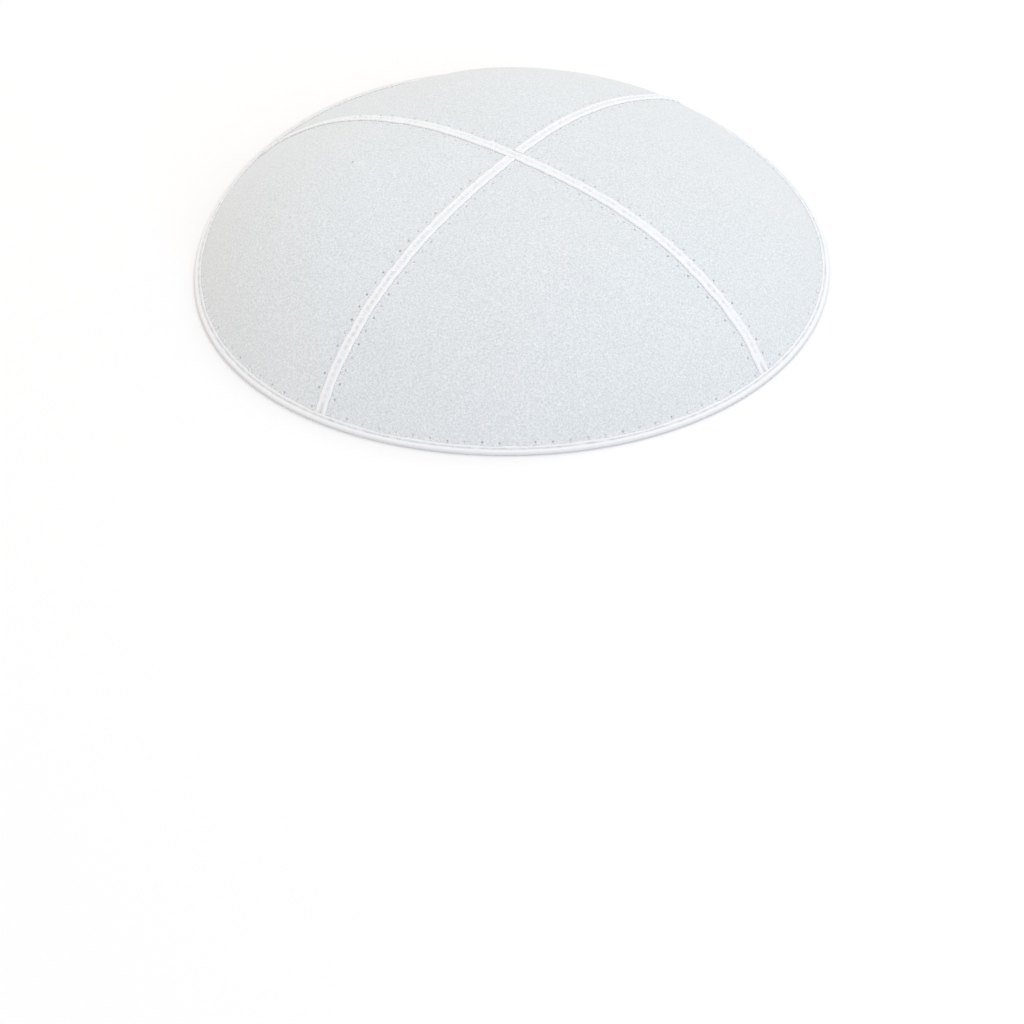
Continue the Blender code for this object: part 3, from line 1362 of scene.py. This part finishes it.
@dataclass
class SeamTape:
    """A narrow tape over a seam: two rounded lips with a groove that the thread bridges."""

    name: str
    seam: int
    start: float
    end: float
    form: CapForm
    stitching: Stitching
    half_width: float = 1.62 * MM
    step: float = 0.38 * MM
    section: tuple[tuple[float, float], ...] = (
        (-0.985, 0.05), (-1.0, 0.17), (-0.96, 0.31), (-0.87, 0.44), (-0.74, 0.52), (-0.60, 0.54),
        (-0.46, 0.49), (-0.33, 0.38), (-0.17, 0.25), (0.0, 0.20), (0.17, 0.25), (0.33, 0.38),
        (0.46, 0.49), (0.60, 0.54), (0.74, 0.52), (0.87, 0.44), (0.96, 0.31), (1.0, 0.17),
        (0.985, 0.05), (0.6, 0.02), (0.0, 0.0), (-0.6, 0.02),
    )
    bridge: float = 0.6
    faintest: float = 0.15
    crown_strength: float = 0.45
    rim_gain: float = 0.55
    crossing_reach: float = 0.42 * MM
    pinch: float = 0.03
    edge_wave: float = 0.07 * MM
    width_wave: float = 0.05
    lip_wave: float = 0.07
    groove_half: float = 0.45
    underside: float = 0.1 * MM
    pressed: float = 0.52
    pressed_run: float = 1.4 * MM

    def stitches(self, along: Array) -> tuple[Array, Array]:
        """Where the thread crosses the tape, and how strongly the dashes between show: the groove's
        depth and its painted shade.

        Args:
            along: Distances of the sections off the crown.

        Returns:
            How near a crossing is and how strong the dash is, from 0 to 1 by section.
        """
        knots = self.stitching.crossings(self.form)
        knots = np.concatenate((-knots[::-1], knots))
        gap = np.abs(along[:, None] - knots[None, :]).min(axis=1)
        rng = np.random.default_rng(self.seam + 61)
        dashes = rng.uniform(self.faintest, 1.0, len(knots) + 1)
        outwards = self.crown_strength + self.rim_gain * np.abs(along) / self.form.edge_radius
        strength = dashes[np.searchsorted(knots, along)] * outwards
        return np.exp(-(gap / self.crossing_reach) ** 2), strength

    def wave(self, along: Array, counts: range, seed: int) -> Array:
        """A random wave along the tape."""
        share = (along - self.start) / (self.end - self.start)
        return random_waves(share * 0.5, counts, self.seam + seed)

    def build(self, material: Material) -> Thing:
        """Builds the tape.

        Args:
            material: The tape's material.

        Returns:
            The tape.
        """
        count = int((self.end - self.start) / self.step)
        along = np.linspace(self.start, self.end, count + 1)
        crossing, strength = self.stitches(along)
        side_wave = self.edge_wave * self.wave(along, range(12, 60), 21)
        width_wave = 1 + self.width_wave * self.wave(along, range(10, 70), 31)
        width_wave = width_wave - self.pinch * crossing
        lip_wave = 1 + self.lip_wave * self.wave(along, range(20, 90), 41)
        across, rise = np.array(self.section).T
        rise = rise * MM
        sides = self.half_width * across[None, :] * width_wave[:, None] + side_wave[:, None]
        top = rise > self.underside
        groove = np.clip(1 - np.abs(across) / self.groove_half, 0, 1) * top
        fill = np.maximum(self.bridge * crossing, 0.5 * (1 - strength))[:, None]
        filled = rise[None, :] + (rise.max() - rise)[None, :] * groove[None, :] * fill
        lift = np.where(top[None, :], filled * lip_wave[:, None], filled)
        press = np.clip((np.abs(along) - self.end + self.pressed_run) / self.pressed_run, 0, 1)
        lift = lift * (1 - self.pressed * press ** 2 * (3 - 2 * press))[:, None]
        # Painted shade in the groove, in dashes between the thread's crossings
        hollow = groove[None, :] * (strength * (1 - crossing))[:, None] * np.ones_like(lift)
        even = np.stack((np.broadcast_to(along[:, None], sides.shape), sides), axis=-1)
        points = self.form.place(turned(even, self.form.seam_azimuth(self.seam)),
                                 self.form.half_suede + lift)
        uv = skin_uv(points, along)
        return lofted(self.name, points[:, ::-1], uv[:, ::-1], hollow[:, ::-1], False, material)


@dataclass
class RimBinding:
    """The tape folded round the suede's lower edge, with two lips on its outer leg."""

    name: str
    form: CapForm
    stations: int = 840
    leg: float = 1.8 * MM
    leg_steps: int = 12
    inner_leg: float = 1.2 * MM
    channel: float = 0.54 * MM
    lip: float = 0.31 * MM
    lip_swell: float = 0.08
    groove_place: float = 0.80 * MM
    groove_width: float = 0.32 * MM
    groove_depth: float = 0.22 * MM
    groove_shade: float = 0.62
    groove_shade_wave: float = 0.25
    end_bulge: float = 0.26 * MM
    bulge_reach: float = 2.3 * MM
    width_wave: float = 0.12 * MM
    fold_steps: int = 11
    # Painted shade on the fold's outer side: its strength, and how fast it grows down the fold
    fold_shade: float = 0.6
    fold_shade_growth: float = 2.2

    def sections(self, azimuth: Array) -> tuple[Array, Array]:
        """The sections at some azimuths, down the outer side first.

        Args:
            azimuth: Azimuths of the sections.

        Returns:
            Points by section and place on the section, and how deep in the groove each lies.
        """
        form = self.form
        heading = np.stack((np.cos(azimuth), np.sin(azimuth)), axis=-1)
        share = azimuth / FULL_TURN
        width = self.width_wave * random_waves(share, range(6, 60), 51)
        swell = 1 + self.lip_swell * random_waves(share, range(20, 140), 52)
        quarter = math.pi / 2
        off_seam = (azimuth - form.seam_azimuth(0) + quarter / 2) % quarter - quarter / 2
        bulge = np.exp(-(np.abs(off_seam) * form.edge_radius / self.bulge_reach) ** 2)
        bulge = self.end_bulge * bulge
        # Painted shade in the groove between the lips, stronger and weaker round the rim
        shade = random_waves(share, range(30, 200), 53)
        shade = self.groove_shade + self.groove_shade_wave * shade
        points, painted_shades = [], []

        def corner(up_leg: Array | float, off: Array | float, deep: Array | float = 0.0) -> None:
            """Adds a corner by its distance up the leg and off the suede's middle, with its painted
            shade.
            """
            reach = np.broadcast_to(form.reach_at(form.meridian_length - up_leg), azimuth.shape)
            points.append(form.place(heading * reach[:, None], off))
            painted_shades.append(np.broadcast_to(deep, azimuth.shape))

        def arc(start: float, end: float, radius: float, count: int, shade_on_fold: float = 0.0) -> None:
            """Adds corners on an arc about the suede's edge, with painted shade that grows along
            it.
            """
            middle = form.edge_radius + form.rim_swell(azimuth)
            for done, angle in zip(np.linspace(0, 1, count), np.linspace(start, end, count)):
                out = heading * (middle + radius * math.cos(angle))[:, None]
                height = np.full((len(azimuth), 1), form.edge_height + radius * math.sin(angle))
                points.append(np.concatenate((out, height), axis=1))
                painted_shades.append(np.full(len(azimuth), shade_on_fold * min(1.0, self.fold_shade_growth * done)))

        half = form.half_suede
        top = self.leg + width
        for down, off in ((0.04, 0.03), (0.0, 0.11), (0.03, 0.20)):
            corner(top - down * MM, half + off * MM + bulge)
        corner(top - 0.12 * MM, (half + 0.27 * MM) * swell + bulge)
        for step in range(self.leg_steps):
            ease = step / (self.leg_steps - 1)
            up_leg = (top - 0.25 * MM) * (1 - ease)
            plain = (half + self.lip) * swell * (1 - ease) + form.fold_radius * ease
            deep = np.exp(-((up_leg - self.groove_place) / self.groove_width) ** 2)
            # The groove's painted shade follows its depth
            corner(up_leg, plain - self.groove_depth * deep + bulge * (1 - ease), deep * shade)
        start = math.pi / 2 - form.flare
        half_flat = math.asin(form.fold_flat / 2 / form.fold_radius)
        flat_start, flat_end = half_flat - math.pi / 2, -half_flat - math.pi / 2
        # The fold's outer side carries painted shade, growing towards the flat underside
        arc(start + (flat_start - start) / self.fold_steps, flat_start, form.fold_radius,
            self.fold_steps, self.fold_shade)
        arc(flat_end, flat_end, form.fold_radius, 1)
        corner(self.inner_leg * 0.5, -(form.fold_radius - 0.05 * MM))
        for up_share, off in ((0.85, 0.26), (1.0, 0.15), (0.97, 0.05)):
            corner(self.inner_leg * up_share + width, -(half + off * MM))
        corner(self.inner_leg * 0.5, -self.channel)
        arc(start - math.pi, start, self.channel, 7)
        for up_leg in (0.45 * MM, 0.9 * MM, 1.35 * MM):
            corner(up_leg, self.channel + bulge * up_leg / self.leg)
        return np.stack(points, axis=1), np.stack(painted_shades, axis=1)

    def build(self, material: Material) -> Thing:
        """Builds the binding.

        Args:
            material: The binding's material.

        Returns:
            The binding.
        """
        azimuth = np.linspace(0, FULL_TURN, self.stations, endpoint=False)
        points, hollow = self.sections(azimuth)
        uv = skin_uv(points, azimuth * self.form.edge_radius)
        return lofted(self.name, points, uv, hollow, True, material)


@dataclass
class Needlework:
    """The white thread over the seams and round the rim."""

    form: CapForm
    stitching: Stitching
    surface: Thing
    tree: NodeTree
    material: Material

    def seam_line(self, seam: int) -> tuple[Array, Array]:
        """The holes of a seam in sewing order, from the crown outwards.

        Args:
            seam: Number of the seam.

        Returns:
            The holes and the directions out of them.
        """
        rows = [self.stitching.seam_row(self.form, seam, side) for side in (Side.RIGHT, Side.LEFT)]
        count = min(len(row.even) for row in rows)
        points = np.stack([row.points(self.form)[:count] for row in rows], axis=1).reshape(-1, 3)
        up = np.stack([row.up(self.form)[:count] for row in rows], axis=1).reshape(-1, 3)
        return points, up

    def rim_line(self) -> tuple[Array, Array]:
        """The holes of the rim in sewing order, with the thread's turns on the binding between.

        Returns:
            The points and the directions out of them.
        """
        rows = [self.stitching.rim_row(self.form, seam) for seam in range(4)]
        holes = np.concatenate([row.points(self.form) for row in rows])
        up = np.concatenate([row.up(self.form) for row in rows])
        outwards = unit((holes + np.roll(holes, -1, axis=0))[:, :2])
        reach = self.form.reach_at(self.form.meridian_length - RimBinding.groove_place)
        low = self.form.place(outwards * reach, self.form.half_suede + RimBinding.lip)
        out = self.form.up(outwards * reach)
        points = np.stack((holes, low), axis=1).reshape(-1, 3)
        return points, np.stack((up, out), axis=1).reshape(-1, 3)

    def sew(self, name: str, points: Array, up: Array, slot: Slot) -> Thing:
        """Lays one thread.

        Args:
            name: Name of the piece.
            points: The holes in sewing order.
            up: The directions out of them.
            slot: The record's slot.

        Returns:
            The thread.
        """
        thread = guide(name, points, up, True)
        run_tree(thread, self.tree, {"Surface": self.surface, "Material": self.material})
        finish_piece(thread, slot)
        return thread

    def build(self) -> None:
        """Sews the seams and the rim."""
        inner, inner_up = self.seam_line(2)
        outer, outer_up = self.seam_line(0)
        self.sew("thread_long_seam", np.concatenate((inner[::-1], outer)),
                 np.concatenate((inner_up[::-1], outer_up)), Slot.SEAM_TAPE)
        self.sew("thread_back_right_seam", *self.seam_line(1), Slot.SEAM_TAPE)
        self.sew("thread_front_left_seam", *self.seam_line(3), Slot.SEAM_TAPE)
        self.sew("thread_rim", *self.rim_line(), Slot.BINDING)


# Studio

@dataclass(frozen=True)
class SoftBox:
    """A large area light that faces the cap."""

    name: str
    place: tuple[float, float, float]
    size: float
    power: float
    colour: tuple[float, float, float]

    def build(self) -> None:
        """Hangs the light."""
        light = bpy.data.lights.new(self.name, "AREA")
        light.shape = "DISK"
        light.size = self.size
        light.energy = self.power
        light.color = self.colour
        thing = bpy.data.objects.new(self.name, light)
        bpy.context.scene.collection.objects.link(thing)
        thing.location = self.place
        thing.rotation_mode = "QUATERNION"
        thing.rotation_quaternion = (-Vector(self.place)).to_track_quat("-Z", "Y")


@dataclass(frozen=True)
class ProductCamera:
    """The long lens that looks down on the front of the cap."""

    distance: float = 1.5
    elevation: float = math.radians(37.235)
    pitch: float = math.radians(39.930)
    yaw: float = math.radians(-0.052)
    roll: float = math.radians(-0.54)
    lens: float = 185.09

    def build(self) -> None:
        """Makes the camera the scene's own."""
        data = bpy.data.cameras.new("product_camera")
        data.sensor_width = 36.0
        data.lens = self.lens
        data.clip_start = 0.01
        data.clip_end = 50.0
        camera = bpy.data.objects.new("product_camera", data)
        bpy.context.scene.collection.objects.link(camera)
        place = Vector((0, -math.cos(self.elevation), math.sin(self.elevation))) * self.distance
        turn = Matrix.Rotation(self.yaw, 3, "Z")
        forward = turn @ Vector((0, math.cos(self.pitch), -math.sin(self.pitch)))
        level = turn @ Vector((1, 0, 0))
        right = math.cos(self.roll) * level + math.sin(self.roll) * level.cross(forward)
        aim = Matrix((right, right.cross(forward), -forward)).transposed()
        camera.matrix_world = Matrix.Translation(place) @ aim.to_4x4()
        bpy.context.scene.camera = camera


@dataclass(frozen=True)
class Studio:
    """A pale floor, soft lights and the camera."""

    floor_size: float = 12.0
    floor_colour: tuple = (0.97, 0.97, 0.97, 1.0)
    floor_deep: float = 0.995
    sky_colour: tuple = (1.0, 0.936, 0.886, 1.0)
    sky_strength: float = 0.882
    camera: ProductCamera = ProductCamera()
    lights: tuple[SoftBox, ...] = (
        SoftBox("key", (0.6, 0.9, 1.7), 1.4, 10.4, (0.76, 0.893, 1.0)),
        SoftBox("front", (0.7, -1.5, 0.9), 1.0, 5.44, (0.387, 0.672, 1.0)),
    )

    def floor(self) -> Thing:
        """The floor, at the height that the cap rests on.

        Returns:
            The floor.
        """
        half = self.floor_size / 2
        corners = [(-half, -half, 0), (half, -half, 0), (half, half, 0), (-half, half, 0)]
        mesh = bpy.data.meshes.new("floor")
        mesh.from_pydata(corners, [], [(0, 1, 2, 3)])
        material = bpy.data.materials.new("floor")
        material.use_nodes = True
        graph = Graph(material.node_tree)
        shader = material.node_tree.nodes["Principled BSDF"]
        place = graph.add("ShaderNodeTexCoord").outputs["Object"]
        tone = graph.ramp(graph.noise(place, 3.0, detail=2.0, roughness=0.5), 0.3, 0.7)
        deep = tuple(self.floor_deep * c for c in self.floor_colour[:3]) + (1.0,)
        graph.link(graph.mix(tone, deep, self.floor_colour), shader.inputs["Base Color"])
        shader.inputs["Roughness"].default_value = 0.9
        shader.inputs["Specular IOR Level"].default_value = 0.1
        mesh.materials.append(material)
        floor = put("floor", mesh)
        return floor

    def build(self) -> None:
        """Sets up the whole studio."""
        self.floor()
        world = bpy.data.worlds.new("studio")
        world.use_nodes = True
        sky = world.node_tree.nodes["Background"]
        sky.inputs["Color"].default_value = self.sky_colour
        sky.inputs["Strength"].default_value = self.sky_strength
        bpy.context.scene.world = world
        for light in self.lights:
            light.build()
        self.camera.build()
        bpy.context.scene.view_settings.view_transform = "Standard"


# The whole cap

@dataclass
class Skullcap:
    """The cap with all its pieces."""

    form: CapForm = field(default_factory=CapForm)
    stitching: Stitching = field(default_factory=Stitching)
    butt: float = 1.66 * MM
    tuck: float = 0.30 * MM

    def panels(self, nap: NodeTree) -> list[Thing]:
        """Builds the four panels.

        Args:
            nap: The nap group.

        Returns:
            The panels.
        """
        pattern = PanelPattern(self.form, self.stitching)
        suede = SuedeFinish().build(nap)
        tree = NeedleHoles().tree()
        made = []
        for seam, side in enumerate(("right", "back", "left", "front")):
            panel = SuedePanel("suede_" + side, seam, self.form, self.stitching, pattern)
            piece = panel.build(tree, suede)
            finish_piece(piece, Slot.SUEDE, "panel_" + side)
            made.append(piece)
        return made

    def tapes(self, material: Material) -> list[Thing]:
        """Builds the three tapes.

        Args:
            material: The tape's material.

        Returns:
            The tapes.
        """
        edge = self.form.meridian_length - RimBinding.leg + self.tuck
        reach = float(self.form.reach_at(edge))
        runs = (("long", 0, -reach), ("back_right", 1, self.butt), ("front_left", 3, self.butt))
        made = []
        for name, seam, start in runs:
            tape = SeamTape("tape_" + name, seam, start, reach, self.form, self.stitching)
            piece = tape.build(material)
            finish_piece(piece, Slot.SEAM_TAPE, "seam_strip_" + name)
            made.append(piece)
        return made

    def build(self) -> None:
        """Builds every piece."""
        nap, weave = nap_group(), weave_group()
        panels = self.panels(nap)
        tapes = self.tapes(TapeFinish().build(nap, weave))
        binding = RimBinding("binding", self.form).build(BindingFinish().build(nap, weave))
        finish_piece(binding, Slot.BINDING, "rim_binding")
        surface = self.joined("sewing_surface", panels + tapes + [binding])
        Needlework(self.form, self.stitching, surface, LaidThread().tree(),
                   ThreadFinish().build(nap)).build()
        drop(surface)

    @staticmethod
    def joined(name: str, things: list[Thing]) -> Thing:
        """One plain mesh of several pieces, for the thread to lie on.

        Args:
            name: Name of the new object.
            things: The pieces.

        Returns:
            The new object.
        """
        corners, faces, count = [], [], 0
        for thing in things:
            co = np.empty(len(thing.data.vertices) * 3, np.float32)
            thing.data.vertices.foreach_get("co", co)
            corners.append(co.reshape(-1, 3))
            faces += [tuple(count + i for i in face.vertices) for face in thing.data.polygons]
            count += len(co) // 3
        mesh = bpy.data.meshes.new(name)
        mesh.from_pydata(np.concatenate(corners).tolist(), [], faces)
        return put(name, mesh)


def main() -> None:
    """Builds the cap and its studio."""
    logging.basicConfig(level=logging.INFO, format="%(name)s: %(message)s")
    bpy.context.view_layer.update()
    Skullcap().build()
    Studio().build()


if __name__ == "__main__":
    main()
